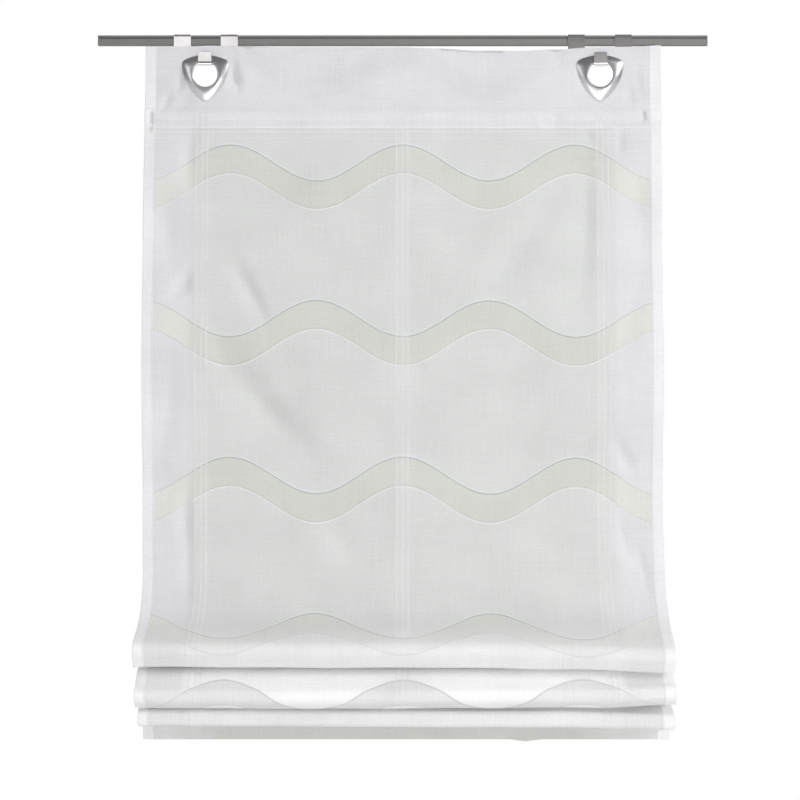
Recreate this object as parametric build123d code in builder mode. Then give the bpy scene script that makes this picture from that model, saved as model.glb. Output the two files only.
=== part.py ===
from build123d import *
import math
import os

# Roman blind on a flat rail: +X right, +Y away from the viewer, +Z up, millimetres.
# The origin is the middle of the rail's section, half way along the rail.

# Shared clearances
overrun = 1.0
seat_gap = 0.3

# Rail
rail_length = 950.0
rail_height = 16.0
rail_depth = 8.0
rail_wall = 1.2
rail_corner = 2.0
groove_height = 2.4
groove_depth = 0.9
groove_rise = 3.4

# Hooks
hook_spacing = 613.0
hook_sheet = 1.5
hook_clearance = 0.2
hook_bend = 1.5
arm_width = 26.5
arm_spacing = 73.0
arm_tail = 15.0
web_drop = 17.0
web_height = 12.0
notch_corner = 6.0
root_corner = 4.0
tongue_drop = 40.2
tongue_width = 21.0
tongue_tip_width = 19.0
tongue_lip = 17.0
tongue_tip_corner = 1.2
lip_gap = 1.0

# Eyelets
eyelet_arc = 73.0
eyelet_corner = 9.0
eyelet_hole = 38.0
eyelet_height = 5.0
eyelet_edge = 1.2
eyelet_slope = 8.0
collar_wall = 1.2
collar_clearance = 0.15
collar_recess = 1.0
eyelet_back_thickness = 2.4
eyelet_back_inset = 1.0

# Cloth
cloth_width = 800.0
cloth_thickness = 0.8
cloth_hole_clearance = 0.3
eyelet_margin = 46.0
heading_height = 95.5
heading_gap = 0.6
pocket_height = 31.0
pocket_bulge = 3.0
pocket_bend = 5.0
pocket_ease_share = 0.3
seam_allowance = 14.0
panel_drop = 742.0
panel_lean = 31.0
panel_bend = 20.0
side_hem = 17.0

# Folds: each row gives the upper and lower corner of a fold's nose and the valley behind it,
# reach as a share of fold_reach in front of the cord line, drop as a share of stack_height
cord_setback = 16.0
fold_reach = 80.0
stack_height = 165.0
fold_shares = (
    (1.00, 0.28, 0.79, 0.47, 0.46),
    (1.02, 0.71, 0.70, 0.84, 0.81),
    (0.56, 0.88, 0.61, 1.03, 1.00),
)
nose_radius = 8.0
valley_height = 9.0

# Bottom hem and its weight bar
hem_drop = 33.0
hem_height = 24.0
hem_slant = 6.0
bar_thickness = 3.0
bar_height = 14.0
bar_corner = 0.8
bar_end_gap = 6.0

# Wave bands of thinner weave. On the folds each row gives the middle and the wave height of the
# band's upper edge, then of its lower edge, as shares of the flat upper face of that fold
wave_count = 3
wave_steps = 10
panel_band_count = 3
first_band_drop = 203.0
band_spacing = 242.0
band_width = 44.0
wave_height = 28.0
band_recess = 0.3
fold_band_shares = ((0.44, -0.34, 0.85, -0.12), (0.76, 0.17, 0.965, 0.015))

# Gathering tapes and the loops on them
tape_spacing = 310.0
tape_width = 22.0
tape_thickness = 0.6
tape_gap = 0.1
loop_foot_width = 14.0
loop_width = 8.0
loop_height = 2.6
loop_length = 6.0
loop_thickness = 0.8
loop_pitch = 195.0
panel_loop_count = 4
first_loop_rise = 26.0

os.makedirs("parts", exist_ok=True)

# Places that follow from the sizes above, from the rail forwards and from the hooks downwards
hook_back_y = -rail_depth / 2 - hook_clearance
hook_front_y = hook_back_y - hook_sheet
eyelet_rear_y = hook_front_y - seat_gap
heading_rear_y = eyelet_rear_y - eyelet_back_thickness
back_y = heading_rear_y - cloth_thickness / 2
front_y = back_y - heading_gap - cloth_thickness
heading_front_y = front_y - cloth_thickness / 2
eyelet_front_y = heading_front_y - eyelet_height
lip_y = eyelet_front_y - lip_gap
hole_radius = eyelet_hole / 2
collar_radius = hole_radius + collar_wall
eyelet_z = seat_gap - tongue_drop - math.sqrt(hole_radius**2 - (tongue_width / 2) ** 2)
hook_places = {"left": -hook_spacing / 2, "right": hook_spacing / 2}

cloth_top = eyelet_z + eyelet_margin
pocket_top = cloth_top - heading_height
pocket_foot = pocket_top - pocket_height
seam_end = pocket_foot - seam_allowance
panel_foot = pocket_foot - panel_drop
panel_foot_y = front_y - panel_lean
cord_y = panel_foot_y - cord_setback
hem_foot = panel_foot - stack_height - hem_drop
hem_back_y = cord_y + cloth_thickness + bar_thickness + 2 * seat_gap


def panel_y(height):
    """Y of the panel's middle plane at a height between the pocket and the folds."""
    return front_y - panel_lean * (pocket_foot - height) / panel_drop


# Heading corners: up the back layer, over the top edge, down the front over the rod pocket
pocket_ease = pocket_height * pocket_ease_share
pocket_y = front_y - pocket_bulge
heading_corners = [
    (back_y, seam_end),
    (back_y, cloth_top),
    (front_y, cloth_top),
    (front_y, pocket_top),
    (pocket_y, pocket_top - pocket_ease),
    (pocket_y, pocket_foot + pocket_ease),
    (front_y, pocket_foot),
]
heading_radii = [0, 0, pocket_bend, pocket_bend, pocket_bend, panel_bend]

# Fold corners: panel foot, then nose, nose and valley for each fold
fold_corners = [(panel_foot_y, panel_foot)]
fold_radii = [panel_bend]
valley_heights = []
for upper_reach, upper_drop, lower_reach, lower_drop, valley_drop in fold_shares:
    valley_z = panel_foot - valley_drop * stack_height
    valley_heights.append(valley_z)
    fold_corners.append((cord_y - upper_reach * fold_reach, panel_foot - upper_drop * stack_height))
    fold_corners.append((cord_y - lower_reach * fold_reach, panel_foot - lower_drop * stack_height))
    fold_corners.append((cord_y, valley_z + valley_height / 2))
    fold_corners.append((cord_y, valley_z - valley_height / 2))
    fold_radii += [nose_radius, 0, 0, 0]

# Below the last valley the cloth runs straight down, so that valley has no lower corner
tape_end = fold_corners.pop()
fold_radii.pop()
hem_corners = [
    (cord_y, hem_foot),
    (hem_back_y, hem_foot),
    (hem_back_y, hem_foot + hem_height - hem_slant),
    (cord_y + cloth_thickness + seat_gap, hem_foot + hem_height),
]
hem_radii = [0, 0, 0]

cloth_corners = heading_corners + fold_corners + hem_corners
cloth_radii = heading_radii + fold_radii + hem_radii
tape_start_z = seam_end - overrun
tape_corners = [(panel_y(tape_start_z), tape_start_z)] + fold_corners + [tape_end]


def wave_edge(middle, height):
    """Points along one band edge, across its face and up from its top.
    A positive height puts a crest at the middle of the cloth."""
    half = cloth_width / 2 - side_hem
    wave_length = cloth_width / wave_count
    step = wave_length / wave_steps
    inner = math.floor(half / step)
    places = [-half] + [step * i for i in range(-inner, inner + 1)] + [half]
    return [(x, height * math.cos(2 * math.pi * x / wave_length) - middle) for x in places]


def bend_run(start, corner, end, radius):
    """Length that rounding a corner of the path takes from each of its two runs."""
    turn = math.atan2(end[1] - corner[1], end[0] - corner[0])
    turn -= math.atan2(corner[1] - start[1], corner[0] - start[0])
    return radius * abs(math.tan(turn / 2))


def face_normal(top, foot):
    """Direction out of the front of the cloth between two corners of its path."""
    down = Vector(0, foot[0] - top[0], foot[1] - top[1]).normalized()
    return Vector(0, down.Z, -down.Y)


# Curtain rail: hollow flat section with a groove along its front
with BuildPart() as curtain_rail:
    with BuildSketch(Plane.YZ):
        RectangleRounded(rail_depth, rail_height, rail_corner)
        with Locations((-rail_depth / 2 + groove_depth / 2, groove_rise)):
            Rectangle(groove_depth, groove_height, mode=Mode.SUBTRACT)
        with Locations((groove_depth / 2, 0)):
            Rectangle(
                rail_depth - groove_depth - 2 * rail_wall, rail_height - 2 * rail_wall, mode=Mode.SUBTRACT
            )
    extrude(amount=rail_length / 2, both=True)
curtain_rail.part.label = "curtain_rail"
export_step(curtain_rail.part, "parts/curtain_rail.step")

# Hooks: one stamped and bent sheet each
hook_mid_y = (hook_back_y + hook_front_y) / 2
hook_rear_y = rail_depth / 2 + hook_clearance + hook_sheet / 2
hook_top_z = rail_height / 2 + hook_sheet / 2
web_top = -web_drop
web_foot = web_top - web_height
tongue_mid_z = -tongue_drop - hook_sheet / 2
lip_mid_y = lip_y - hook_sheet / 2
bend_middle = hook_bend + hook_sheet / 2
lip_start = tongue_mid_z + bend_middle
arm_corners = [
    (hook_mid_y, web_top),
    (hook_mid_y, hook_top_z),
    (hook_rear_y, hook_top_z),
    (hook_rear_y, hook_top_z - arm_tail),
]
tongue_corners = [
    (hook_mid_y, web_foot),
    (hook_mid_y, tongue_mid_z),
    (lip_mid_y, tongue_mid_z),
    (lip_mid_y, lip_start + hook_sheet),
]
for side, place in hook_places.items():
    with BuildPart() as hook:
        with BuildSketch(Plane((place, hook_back_y, 0), x_dir=(1, 0, 0), z_dir=(0, -1, 0))) as web:
            with Locations((0, (web_top + web_foot) / 2)):
                Rectangle(arm_spacing + arm_width, web_height)
            with Locations((-arm_spacing / 2, web_top), (arm_spacing / 2, web_top)):
                Rectangle(arm_width, notch_corner * 2)
            with Locations((0, web_foot)):
                Rectangle(tongue_width, root_corner * 2)
            for height, corner in ((web_top, notch_corner), (web_foot, root_corner)):
                inner = web.vertices().filter_by(lambda v: abs(v.X) < arm_spacing / 2)
                chamfer(inner.filter_by(lambda v: abs(v.Y - height) < overrun), corner)
        extrude(amount=hook_sheet)
        for arm_x in (place - arm_spacing / 2, place + arm_spacing / 2):
            with BuildSketch(Plane.YZ.offset(arm_x)):
                with BuildLine():
                    FilletPolyline(*arm_corners, radius=bend_middle)
                    offset(amount=hook_sheet / 2, side=Side.RIGHT, closed=False)
                    offset(amount=hook_sheet, side=Side.LEFT)
                make_face()
            extrude(amount=arm_width / 2, both=True)
        with BuildSketch(Plane.YZ.offset(place)):
            with BuildLine():
                FilletPolyline(*tongue_corners, radius=bend_middle)
                offset(amount=hook_sheet / 2, side=Side.RIGHT, closed=False)
                offset(amount=hook_sheet, side=Side.LEFT)
            make_face()
        extrude(amount=tongue_width / 2, both=True)
        with BuildSketch(Plane((place, lip_y, 0), x_dir=(1, 0, 0), z_dir=(0, -1, 0))) as lip:
            with BuildLine():
                Polyline(
                    (-tongue_width / 2, lip_start),
                    (tongue_width / 2, lip_start),
                    (tongue_tip_width / 2, lip_start + tongue_lip),
                    (-tongue_tip_width / 2, lip_start + tongue_lip),
                    close=True,
                )
            make_face()
            chamfer(lip.vertices().group_by(Axis.Y)[-1], tongue_tip_corner)
        extrude(amount=hook_sheet)
    hook.part.label = side + "_hook"
    export_step(hook.part, "parts/" + side + "_hook.step")

# Eyelets: a domed front half with a collar, and a flat rear ring that the collar locks into.
# Three equal arcs run between three corners, one of which points down.
eyelet_back_arc = eyelet_arc - 2 * eyelet_back_inset
collar_length = eyelet_rear_y - heading_front_y - collar_recess


def eyelet_sides(arc):
    """Start and end points of the three arcs of this radius."""
    reach = arc / math.sqrt(3)
    angles = [math.radians(angle) for angle in (30, 150, 270, 390)]
    corners = [(reach * math.cos(angle), reach * math.sin(angle)) for angle in angles]
    return zip(corners, corners[1:])


for side, place in hook_places.items():
    front_plane = Plane((place, heading_front_y, eyelet_z), x_dir=(1, 0, 0), z_dir=(0, -1, 0))
    with BuildPart() as eyelet_front:
        with BuildSketch(front_plane) as outline:
            with BuildLine():
                for start, end in eyelet_sides(eyelet_arc):
                    RadiusArc(start, end, -eyelet_arc)
            make_face()
            fillet(outline.vertices(), eyelet_corner)
        extrude(amount=eyelet_height)
        top = eyelet_front.faces().sort_by(Axis.Y)[0]
        chamfer(top.edges(), length=eyelet_slope, length2=eyelet_height - eyelet_edge, reference=top)
        with BuildSketch(front_plane):
            Circle(collar_radius)
        extrude(amount=-collar_length)
        with BuildSketch(front_plane.offset(eyelet_height)):
            Circle(hole_radius)
        extrude(amount=-eyelet_height - collar_length, mode=Mode.SUBTRACT)
    eyelet_front.part.label = side + "_eyelet_front"
    export_step(eyelet_front.part, "parts/" + side + "_eyelet_front.step")

    rear_plane = Plane((place, eyelet_rear_y, eyelet_z), x_dir=(1, 0, 0), z_dir=(0, -1, 0))
    with BuildPart() as eyelet_back:
        with BuildSketch(rear_plane) as outline:
            with BuildLine():
                for start, end in eyelet_sides(eyelet_back_arc):
                    RadiusArc(start, end, -eyelet_back_arc)
            make_face()
            fillet(outline.vertices(), eyelet_corner)
            Circle(collar_radius + collar_clearance, mode=Mode.SUBTRACT)
        extrude(amount=eyelet_back_thickness)
    eyelet_back.part.label = side + "_eyelet_back"
    export_step(eyelet_back.part, "parts/" + side + "_eyelet_back.step")

# Faces of the cloth that carry a band, with the middle and wave height of its two edges
panel_top = (front_y, pocket_foot)
panel_start = heading_height + pocket_height
bands = []
for band in range(panel_band_count):
    middle = first_band_drop + band * band_spacing - panel_start
    height = wave_height * (-1) ** band
    edges = ((middle - band_width / 2, height), (middle + band_width / 2, height))
    bands.append((panel_top, fold_corners[0], edges))
path = [panel_top] + fold_corners
for fold, (upper_share, upper_height_share, lower_share, lower_height_share) in enumerate(fold_band_shares):
    before, face_top, face_foot, after = path[4 * fold : 4 * fold + 4]
    start = bend_run(before, face_top, face_foot, fold_radii[4 * fold])
    flat = math.dist(face_top, face_foot) - start
    flat -= bend_run(face_top, face_foot, after, fold_radii[4 * fold + 1])
    edges = (
        (start + upper_share * flat, upper_height_share * flat),
        (start + lower_share * flat, lower_height_share * flat),
    )
    bands.append((face_top, face_foot, edges))

# Blind cloth: one sheet folded along its path, thicker at the side hems, thinner in the bands
with BuildPart() as blind_cloth:
    with BuildSketch(Plane.YZ):
        with BuildLine():
            FilletPolyline(*cloth_corners, radius=cloth_radii)
            offset(amount=cloth_thickness / 2, side=Side.RIGHT, closed=False, kind=Kind.TANGENT)
            offset(amount=cloth_thickness, side=Side.LEFT, kind=Kind.TANGENT)
        make_face()
    extrude(amount=cloth_width / 2, both=True)
    for face_top, face_foot, edges in bands:
        normal = face_normal(face_top, face_foot)
        skin = Vector(0, *face_top) + normal * (cloth_thickness / 2)
        upper, lower = (wave_edge(middle, height) for middle, height in edges)
        with BuildSketch(Plane(skin, x_dir=(1, 0, 0), z_dir=normal)):
            with BuildLine():
                Polyline(*upper, *reversed(lower), close=True)
            make_face()
        extrude(amount=-band_recess, mode=Mode.SUBTRACT)
    for hem_x in (-cloth_width / 2, cloth_width / 2 - side_hem):
        with BuildSketch(Plane.YZ.offset(hem_x)):
            with BuildLine():
                FilletPolyline(*tape_corners, radius=fold_radii)
                offset(amount=cloth_thickness / 2, side=Side.RIGHT, closed=False, kind=Kind.TANGENT)
                offset(amount=2 * cloth_thickness, side=Side.LEFT, kind=Kind.TANGENT)
            make_face()
        extrude(amount=side_hem)
    for place in hook_places.values():
        with BuildSketch(Plane((place, 0, eyelet_z), x_dir=(1, 0, 0), z_dir=(0, -1, 0))):
            Circle(collar_radius + cloth_hole_clearance)
        extrude(amount=-cord_y, mode=Mode.SUBTRACT)
blind_cloth.part.label = "blind_cloth"
export_step(blind_cloth.part, "parts/blind_cloth.step")

# Weight bar in the bottom hem
bar_y = cord_y + cloth_thickness / 2 + seat_gap + bar_thickness / 2
bar_z = hem_foot + cloth_thickness / 2 + seat_gap + bar_height / 2
with BuildPart() as hem_bar:
    with BuildSketch(Plane.YZ) as bar_section:
        with Locations((bar_y, bar_z)):
            Rectangle(bar_thickness, bar_height)
        chamfer(bar_section.vertices(), bar_corner)
    extrude(amount=cloth_width / 2 - bar_end_gap, both=True)
hem_bar.part.label = "hem_bar"
export_step(hem_bar.part, "parts/hem_bar.step")

# Gathering tapes down the back, each with a row of sewn loops for the cord
tape_offset = cloth_thickness / 2 + tape_gap
loop_offset = tape_offset + tape_thickness + tape_gap
panel_normal = face_normal(panel_top, fold_corners[0])
for name, place in (("left", -tape_spacing), ("centre", 0), ("right", tape_spacing)):
    with BuildPart() as tape:
        with BuildSketch(Plane.YZ.offset(place)):
            with BuildLine():
                FilletPolyline(*tape_corners, radius=fold_radii)
                offset(amount=tape_offset, side=Side.LEFT, closed=False, kind=Kind.TANGENT)
                offset(amount=tape_thickness, side=Side.RIGHT, kind=Kind.TANGENT)
            make_face()
        extrude(amount=tape_width / 2, both=True)
    tape.part.label = name + "_tape"
    export_step(tape.part, "parts/" + name + "_tape.step")

    seats = [(Vector(place, cord_y + loop_offset, z), Vector(0, 0, 1)) for z in valley_heights]
    for row in range(panel_loop_count):
        loop_z = panel_foot + first_loop_rise + row * loop_pitch
        seat = Vector(place, panel_y(loop_z), loop_z) - panel_normal * loop_offset
        seats.append((seat, Vector(0, panel_normal.Z, -panel_normal.Y)))
    with BuildPart() as tape_loops:
        for seat, up in seats:
            with BuildSketch(Plane(seat, x_dir=(1, 0, 0), z_dir=up)):
                with BuildLine():
                    Polyline(
                        (-loop_foot_width / 2, 0),
                        (-loop_width / 2, loop_height),
                        (loop_width / 2, loop_height),
                        (loop_foot_width / 2, 0),
                        (loop_foot_width / 2 - 2 * loop_thickness, 0),
                        (loop_width / 2 - loop_thickness, loop_height - loop_thickness),
                        (-loop_width / 2 + loop_thickness, loop_height - loop_thickness),
                        (-loop_foot_width / 2 + 2 * loop_thickness, 0),
                        close=True,
                    )
                make_face()
            extrude(amount=loop_length / 2, both=True)
    tape_loops.part.label = name + "_tape_loops"
    export_step(tape_loops.part, "parts/" + name + "_tape_loops.step")
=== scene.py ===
import math

import bmesh
import bpy
import numpy as np
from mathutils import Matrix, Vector

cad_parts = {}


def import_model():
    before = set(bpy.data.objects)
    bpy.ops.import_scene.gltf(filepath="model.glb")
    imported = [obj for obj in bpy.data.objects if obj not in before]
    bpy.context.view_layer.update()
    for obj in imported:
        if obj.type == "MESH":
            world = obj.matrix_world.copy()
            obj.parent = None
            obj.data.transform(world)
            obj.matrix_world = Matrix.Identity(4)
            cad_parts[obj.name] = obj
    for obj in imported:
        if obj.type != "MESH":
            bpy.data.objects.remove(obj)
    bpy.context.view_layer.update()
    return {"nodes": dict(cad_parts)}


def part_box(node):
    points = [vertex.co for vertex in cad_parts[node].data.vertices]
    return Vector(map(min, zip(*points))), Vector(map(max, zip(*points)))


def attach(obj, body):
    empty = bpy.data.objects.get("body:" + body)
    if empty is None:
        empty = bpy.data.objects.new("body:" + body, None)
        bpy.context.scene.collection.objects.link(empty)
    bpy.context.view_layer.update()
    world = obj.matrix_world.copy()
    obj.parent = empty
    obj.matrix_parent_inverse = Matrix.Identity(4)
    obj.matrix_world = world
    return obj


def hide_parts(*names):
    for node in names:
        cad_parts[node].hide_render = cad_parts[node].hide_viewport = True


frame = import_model()

# Sizes are in millimetres here and become metres when a mesh is written
MM = 0.001

# Cloth, from the frame and from the folds of the part
CLOTH_LOW, CLOTH_HIGH = (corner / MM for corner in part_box("blind_cloth"))
HALF_WIDTH = CLOTH_HIGH.x
THICKNESS = 0.8
SIDE_HEM = 17.0
BACK_Y = -8.8
FRONT_Y = -10.2
CLOTH_TOP = CLOTH_HIGH.z - THICKNESS / 2
POCKET_DROP = 95.5
POCKET_HEIGHT = 31.0
POCKET_BULGE = 3.0
POCKET_EASE_SHARE = 0.3
SEAM_ALLOWANCE = 14.0
PANEL_DROP = 742.0
PANEL_LEAN = 31.0
CORD_SETBACK = 16.0
FOLD_REACH = 80.0
STACK_HEIGHT = 165.0
VALLEY_HEIGHT = 9.0
HEM_FOOT = CLOTH_LOW.z + THICKNESS / 2
HEM_HEIGHT = 24.0
HEM_DEPTH = 4.4
HEM_SLOPE = 6.0
HEM_GAP = 0.3
# Each fold: reach and drop of its nose, reach and drop of its lip, drop of the valley behind it
FOLD_SHARES = (
    (1.00, 0.28, 0.79, 0.47, 0.46),
    (1.02, 0.71, 0.70, 0.84, 0.81),
    (0.56, 0.88, 0.61, 1.03, 1.00),
)

# Radii of the bends along the path
TOP_RADIUS = 0.63
POCKET_EDGE_RADIUS = 4.0
POCKET_FACE_RADIUS = 8.0
FLARE_RADIUS = 100.0
NOSE_RADII = (16.0, 13.0, 9.0)
LIP_RADIUS = 6.0
VALLEY_RADIUS = 2.5
HEM_RADIUS = 1.4
HEM_BACK_RADIUS = 3.0

# The upper faces of the second and third folds puff up: run along the path and rise
FOLD_PUFFS = ((11, 9.0), (15, 2.0))
# Uneven folds: sway of the noses and ripple of their edges, with the lengths of the waves
FOLD_SWAY = 1.2
SWAY_LENGTH = 95.0
SWAY_TURN = 7
EDGE_RIPPLE = 0.7
RIPPLE_LENGTHS = (41.0, 67.0)
THIRD_RIPPLE_SHARE = 0.8
# The bottom hem dips at one place: place across, half width and depth
HEM_DIP = (186.0, 14.0, 3.0)

# Wave bands
WAVE_LENGTH = 2 * HALF_WIDTH / 3
WAVE_HEIGHT = 28.0
BAND_WIDTH = 44.0
FIRST_BAND = 203.0
BAND_SPACING = 242.0
BAND_COUNT = 5

# Tapes, which end TAPE_END above the end of the cloth's path
TAPE_PLACES = {"left": -310.0, "centre": 0.0, "right": 310.0}
TAPE_WIDTH = 22.0
TAPE_THICKNESS = 0.6
TAPE_GAP = 0.1
TAPE_SEAMS = (-9.5, 0.0, 8.0)
TAPE_END = 66.0
TAPE_COLUMNS = 9

# Eyelets
EYELET_X = 306.5
EYELET_PLACES = {"left": -EYELET_X, "right": EYELET_X}
EYELET_DROP = 46.0
EYELET_Z = CLOTH_TOP - EYELET_DROP
EYELET_ARC = 73.0
EYELET_CORNER = 9.0
EYELET_HOLE = 19.0
EYELET_HEIGHT = 5.0
EYELET_EDGE = 1.2
EYELET_EDGE_SHARE = 0.55
RIM_ROUND = 0.6
LIP_ROUND = 1.6
DOME_POWER = 0.85
COLLAR_WALL = 1.2
CLOTH_HOLE = 24.5

# Hooks: bent sheets, with heights from the middle of the rail and half widths from their middle.
# Places that differ by less than SAME_PLACE are one place.
HOOK_SHEET = 1.5
HOOK_BEND = 2.25
HOOK_REAR_LEG = 15.0
WEB_TOP = -17.0
WEB_FOOT = -29.0
ARM_NOTCH = 6.0
TONGUE_ROOT = 4.0
LIP_SIDE = 15.8
LIP_TOP = 17.0
LIP_CORNER = 2.2
LIP_TAPER = 0.095
ARM_OUTER = 49.75
ARM_INNER = 23.25
ARM_SUPPORT = 6.6
TONGUE = 10.5
SAME_PLACE = 0.1


def smooth(low, high, value):
    """0 below low, 1 above high, and a smooth step between them."""
    share = np.clip((value - low) / (high - low), 0, 1)
    return share * share * (3 - 2 * share)


def between(rise, fall, value):
    """1 between two stretches: it rises from 0 over the first and falls to 0 over the second."""
    return smooth(*rise, value) * (1 - smooth(*fall, value))


def table(places, values, at):
    """Smooth curve through a few places, each with its value."""
    at = np.asarray(at, float)
    result = np.full(at.shape, float(values[0]))
    for left, right, start, end in zip(places, places[1:], values, values[1:]):
        result = np.where(at >= left, start + (end - start) * smooth(left, right, at), result)
    return result


# Path of the cloth, one column of corners for each place across


def heading_sag(x):
    """How far the top edge hangs down between and beside the eyelets."""
    places = (-400, -340, -300, -250, -200, 0, 60, 115, 185, 240, 306, 360, 400)
    values = (1.8, 2.0, 0.6, 1.4, 2.6, 2.8, 5.0, 8.0, 8.4, 6.0, 2.6, 2.2, 0.0)
    return table(places, values, x)


def fold_drops(x):
    """How far the noses of the three folds hang lower than the plain fold, across the cloth."""
    first = table((-400, -150, 60, 240, 400), (-0.5, 0.6, 0.0, 3.2, 9.0), x)
    second = table((-400, -100, 150, 290, 400), (0.0, 0.8, 0.0, -0.5, -5.0), x)
    third = table((-400, -250, 0, 230, 330, 400), (-0.5, 0.5, 0.8, 1.6, 5.0, 7.0), x)
    short, long = RIPPLE_LENGTHS
    ripple = EDGE_RIPPLE * np.sin(x / short) * np.sin(x / long + 1.0)
    return first + ripple, second - ripple, third + THIRD_RIPPLE_SHARE * ripple


def path_corners(x):
    """Corners of the cloth's path, each as y, z and radius, for an array of places across."""
    zero = np.zeros_like(x)
    pocket_top = CLOTH_TOP - POCKET_DROP
    pocket_foot = pocket_top - POCKET_HEIGHT
    ease = POCKET_EASE_SHARE * POCKET_HEIGHT
    pocket_y = FRONT_Y - POCKET_BULGE
    panel_foot = pocket_foot - PANEL_DROP
    cord_y = FRONT_Y - PANEL_LEAN - CORD_SETBACK
    top = CLOTH_TOP - heading_sag(x)
    dip_place, dip_width, dip_depth = HEM_DIP
    hem_foot = HEM_FOOT - dip_depth * np.exp(-(((x - dip_place) / dip_width) ** 2))
    hem_back = cord_y + HEM_DEPTH
    corners = [
        (BACK_Y + zero, pocket_foot - SEAM_ALLOWANCE + zero, 0),
        (BACK_Y + zero, top, TOP_RADIUS),
        (FRONT_Y + zero, top, TOP_RADIUS),
        (FRONT_Y + zero, pocket_top + zero, POCKET_EDGE_RADIUS),
        (pocket_y + zero, pocket_top - ease + zero, POCKET_FACE_RADIUS),
        (pocket_y + zero, pocket_foot + ease + zero, POCKET_FACE_RADIUS),
        (FRONT_Y + zero, pocket_foot + zero, POCKET_EDGE_RADIUS),
        (FRONT_Y - PANEL_LEAN + zero, panel_foot + zero, FLARE_RADIUS),
    ]
    folds = zip(FOLD_SHARES, fold_drops(x), NOSE_RADII)
    for (nose_reach, nose_drop, lip_reach, lip_drop, valley_drop), lower, nose_radius in folds:
        nose = panel_foot - nose_drop * STACK_HEIGHT
        lip = panel_foot - lip_drop * STACK_HEIGHT
        valley = panel_foot - valley_drop * STACK_HEIGHT
        sway = FOLD_SWAY * np.sin(x / SWAY_LENGTH + SWAY_TURN * lip_reach)
        corners += [
            (cord_y - nose_reach * FOLD_REACH + sway, nose - lower, nose_radius),
            (cord_y - lip_reach * FOLD_REACH + sway, lip - lower, LIP_RADIUS),
            (cord_y + zero, valley + VALLEY_HEIGHT / 2 + zero, VALLEY_RADIUS),
            (cord_y + zero, valley - VALLEY_HEIGHT / 2 + zero, VALLEY_RADIUS),
        ]
    # The last valley has no fold below it and runs straight on into the hem
    corners.pop()
    corners += [
        (cord_y + zero, hem_foot, HEM_RADIUS),
        (hem_back + zero, hem_foot, HEM_RADIUS),
        (hem_back + zero, hem_foot + HEM_HEIGHT - HEM_SLOPE, HEM_BACK_RADIUS),
        (cord_y + THICKNESS + HEM_GAP + zero, hem_foot + HEM_HEIGHT, 0),
    ]
    return corners


# Straight runs and bends are cut into this many pieces
RUN_STEPS = (14, 1, 18, 2, 4, 2, 120, 12, 5, 8, 2, 14, 5, 8, 2, 8, 5, 8, 7, 2, 4, 2)
BEND_STEPS = (3, 3, 3, 4, 4, 3, 15, 7, 5, 3, 3, 7, 5, 3, 3, 7, 5, 3, 3, 3, 2)


def unit(vectors):
    """Vectors of length 1."""
    return vectors / np.linalg.norm(vectors, axis=-1, keepdims=True)


def lengths_along(points):
    """Length along a line of points, from the first of them to each."""
    return np.concatenate([[0], np.cumsum(np.linalg.norm(np.diff(points, axis=0), axis=1))])


def sample_path(corners, run_steps, bend_steps):
    """Points along a path of rounded corners, and the row at which each straight run starts.
    The points are an array of rows by columns by (y, z), one column for each place across."""
    points = [np.stack([y, z], axis=-1) for y, z, radius in corners]
    rows = [points[0]]
    starts = [0]
    leave = points[0]
    for i, steps in enumerate(run_steps):
        arrive = points[i + 1]
        radius = corners[i + 1][2]
        if radius:
            back = unit(points[i] - points[i + 1])
            ahead = unit(points[i + 2] - points[i + 1])
            opening = np.arccos(np.clip((back * ahead).sum(-1), -1, 1))[:, None]
            run = radius / np.tan(opening / 2)
            middle = points[i + 1] + unit(back + ahead) * radius / np.sin(opening / 2)
            arrive = points[i + 1] + back * run
        for step in range(1, steps + 1):
            rows.append(leave + (arrive - leave) * step / steps)
        leave = arrive
        if radius:
            leave = points[i + 1] + ahead * run
            turn = math.pi - opening
            for step in range(1, bend_steps[i] + 1):
                share = step / bend_steps[i]
                start = (arrive - middle) * np.sin((1 - share) * turn)
                end = (leave - middle) * np.sin(share * turn)
                rows.append(middle + (start + end) / np.sin(turn))
        starts.append(len(rows) - 1)
    return np.stack(rows), starts


# Dents are this much deeper than their rows say
DENT_SCALE = 1.3
# Depths of the panel's broad pillows, of the pocket's puckers and of the pocket's open ends
PILLOW_DEPTH = 1.0
PUCKER_DEPTH = 0.5
MOUTH_DEPTH = 3.4
# Lengths of the crossing waves of the broad pillows, the finer pillows and the puckers
PILLOW_WAVES = (58.0, 74.0, 160.0)
FINE_WAVES = (31.0, 43.0, 97.0)
FINE_SHARE = 0.6
PUCKER_WAVES = (9.0, 31.0)
# Stretches of drop over which the pillows, the puckers and the tapes start or end
PANEL_START = (140, 200)
PANEL_END = (820, 880)
PUCKER_START = (94, 100)
PUCKER_END = (124, 130)
TAPE_START = (140, 170)
# Stretches of distance from a tape or from an eyelet's middle over which the wrinkles grow
TAPE_SIDE = (8, 26)
EYELET_SIDE = (31, 42)
# Open ends of the pocket: place across, slant, and the stretches of drop where each starts and ends
POCKET_MOUTHS = (
    (-390, 0.0, (96, 100), (123, 127)),
    (372, 0.25, (97, 101), (114, 121)),
)
MOUTH_WIDTH = 3
MOUTH_LEVEL = 100
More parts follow.
